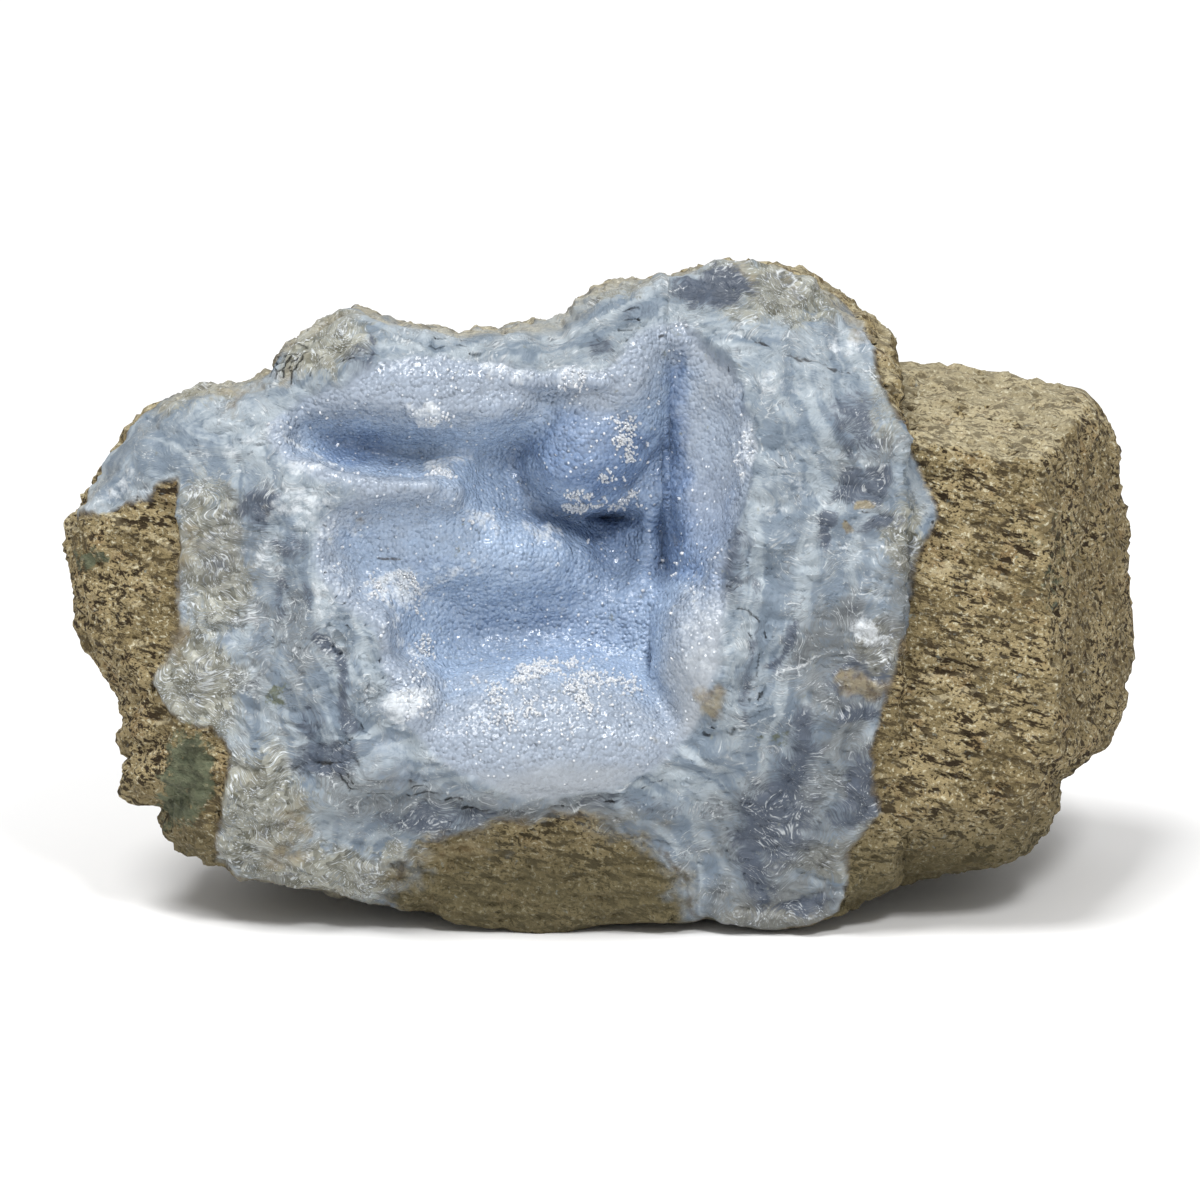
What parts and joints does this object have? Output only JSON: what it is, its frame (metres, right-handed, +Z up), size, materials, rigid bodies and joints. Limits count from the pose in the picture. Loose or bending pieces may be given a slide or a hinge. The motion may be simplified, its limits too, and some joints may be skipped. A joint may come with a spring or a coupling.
{
  "type": "blue lace agate geode",
  "caption": "Free-standing mineral specimen: a broken nodule of banded blue chalcedony with a druse-lined hollow, in a block of olive volcanic host rock.",
  "frame": {"origin": "middle of the specimen's outline from above, on the surface that it stands on", "axes": "+X to the right as one faces the broken side, +Y away from that side, +Z up"},
  "size_m": [0.1504, 0.0864, 0.0919],
  "materials": {
    "host_rock": "rough",
    "chalcedony": "waxy",
    "druse": "sparkling"
  },
  "bodies": {
    "root": {"matrix_rock": "host_rock", "agate_lining": "chalcedony", "crystal_crust": "druse"}
  },
  "joints": []
}
